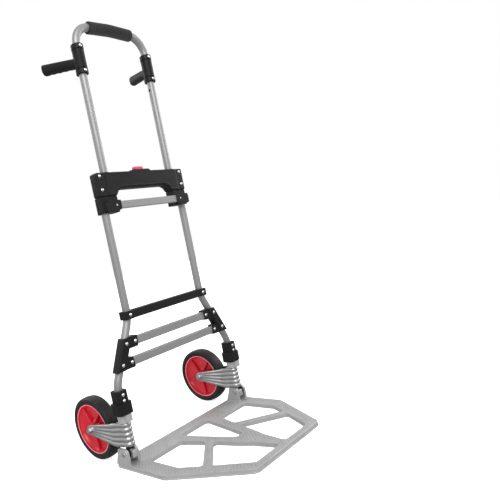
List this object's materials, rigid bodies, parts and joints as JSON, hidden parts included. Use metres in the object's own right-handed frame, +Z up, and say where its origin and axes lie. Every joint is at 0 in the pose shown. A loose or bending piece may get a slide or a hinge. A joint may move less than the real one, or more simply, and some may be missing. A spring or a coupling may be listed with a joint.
{
  "type": "hand truck",
  "caption": "Folding hand truck with a telescoping handle, swivelling side grips, a fold-up toe plate and wheels that turn flat as it folds.",
  "frame": {"origin": "on the floor, in the middle of the truck's box, with the handle pulled out", "axes": "+Z up the frame tubes, -Y the way the toe plate points, +X to the pusher's left"},
  "size_m": [0.5038, 0.526, 1.125],
  "materials": {
    "tube_aluminium": "satin drawn tube",
    "cast_aluminium": "tumbled die casting",
    "black_plastic": "fine-textured moulding",
    "grip_rubber": "soft matte moulding",
    "foam": "closed-cell foam",
    "gear_nylon": "moulded nylon",
    "red_button": "satin moulding",
    "red_rim": "satin moulding",
    "tyre_rubber": "matte",
    "rivet_steel": "bright dome",
    "plated_steel": "zinc plated"
  },
  "bodies": {
    "frame": {"frame_tube_left": "tube_aluminium", "frame_tube_right": "tube_aluminium", "bridge_front_shell": "black_plastic", "bridge_rear_shell": "black_plastic", "bridge_rivets": "rivet_steel", "strap_crossbar": "black_plastic", "strap_rivets": "rivet_steel", "side_bracket_left": "black_plastic", "side_bracket_right": "black_plastic", "bracket_leg_rivets": "rivet_steel", "crossbar_rivets": "rivet_steel", "crossbar_upper": "tube_aluminium", "crossbar_lower": "tube_aluminium", "leg_socket_left": "black_plastic", "leg_socket_right": "black_plastic", "socket_rivets": "rivet_steel", "cast_collar_left": "cast_aluminium", "cast_collar_right": "cast_aluminium", "snap_rings": "plated_steel", "leg_foot_left": "cast_aluminium", "leg_foot_right": "cast_aluminium", "button_spring": "plated_steel"},
    "handle": {"handle_tube": "tube_aluminium", "foam_grip": "foam", "grip_rings_left": "black_plastic", "grip_rings_right": "black_plastic", "grip_ring_rivets": "rivet_steel", "slide_block_left": "black_plastic", "slide_block_right": "black_plastic", "slide_crossbar": "tube_aluminium", "slide_rivets": "rivet_steel"},
    "release_button": {"release_button": "red_button"},
    "toe_plate": {"toe_plate": "cast_aluminium", "hinge_pin_left": "plated_steel", "hinge_pin_right": "plated_steel", "pin_clips": "plated_steel", "plate_gear_left": "gear_nylon", "plate_gear_right": "gear_nylon"},
    "lock_rod_left": {"lock_rod_left": "plated_steel"},
    "side_grip_left": {"side_grip_left": "grip_rubber"},
    "fork_left": {"fork_left": "cast_aluminium", "fork_gear_left": "gear_nylon", "axle_bolt_left": "plated_steel", "axle_nut_left": "plated_steel", "axle_washers_left": "plated_steel"},
    "wheel_left": {"wheel_rim_left": "red_rim", "tyre_left": "tyre_rubber", "wheel_bush_left": "gear_nylon"},
    "lock_rod_right": {"lock_rod_right": "plated_steel"},
    "side_grip_right": {"side_grip_right": "grip_rubber"},
    "fork_right": {"fork_right": "cast_aluminium", "fork_gear_right": "gear_nylon", "axle_bolt_right": "plated_steel", "axle_nut_right": "plated_steel", "axle_washers_right": "plated_steel"},
    "wheel_right": {"wheel_rim_right": "red_rim", "tyre_right": "tyre_rubber", "wheel_bush_right": "gear_nylon"}
  },
  "joints": [
    {"name": "handle_slide", "type": "slide", "parent": "frame", "child": "handle", "axis": [0, 0, -1], "range_m": [0, 0.246]},
    {"name": "toe_plate_fold", "type": "hinge", "parent": "frame", "child": "toe_plate", "pos_m": [0, 0.052, 0.038], "axis": [-1, 0, 0], "range_deg": [0, 90]},
    {"name": "release_button_press", "type": "slide", "parent": "frame", "child": "release_button", "axis": [0, 0, -1], "range_m": [0, 0.005], "stiffness_N_per_m": 400, "springref_m": -0.004, "deforming": ["button_spring"]},
    {"name": "fork_swivel_left", "type": "hinge", "parent": "frame", "child": "fork_left", "pos_m": [0.2205, 0.052, 0.083], "axis": [0, 0, 1], "range_deg": [0, 90]},
    {"name": "wheel_spin_left", "type": "hinge", "parent": "fork_left", "child": "wheel_left", "pos_m": [0.2205, 0.178, 0.085], "axis": [1, 0, 0], "continuous": true},
    {"name": "side_grip_swivel_left", "type": "hinge", "parent": "handle", "child": "side_grip_left", "pos_m": [0.118, 0.052, 1.02], "axis": [0, 0, 1], "range_deg": [0, 110]},
    {"name": "lock_rod_slide_left", "type": "slide", "parent": "frame", "child": "lock_rod_left", "axis": [-1, 0, 0], "range_m": [0, 0.005]},
    {"name": "fork_swivel_right", "type": "hinge", "parent": "frame", "child": "fork_right", "pos_m": [-0.2205, 0.052, 0.083], "axis": [0, 0, -1], "range_deg": [0, 90]},
    {"name": "wheel_spin_right", "type": "hinge", "parent": "fork_right", "child": "wheel_right", "pos_m": [-0.2205, 0.178, 0.085], "axis": [1, 0, 0], "continuous": true},
    {"name": "side_grip_swivel_right", "type": "hinge", "parent": "handle", "child": "side_grip_right", "pos_m": [-0.118, 0.052, 1.02], "axis": [0, 0, -1], "range_deg": [0, 110]},
    {"name": "lock_rod_slide_right", "type": "slide", "parent": "frame", "child": "lock_rod_right", "axis": [1, 0, 0], "range_m": [0, 0.005]}
  ],
  "couplings": [
    {"joint": "fork_swivel_left", "follows": "toe_plate_fold", "ratio": 1},
    {"joint": "lock_rod_slide_left", "follows": "release_button_press", "ratio": 1},
    {"joint": "fork_swivel_right", "follows": "toe_plate_fold", "ratio": 1},
    {"joint": "lock_rod_slide_right", "follows": "release_button_press", "ratio": 1}
  ]
}
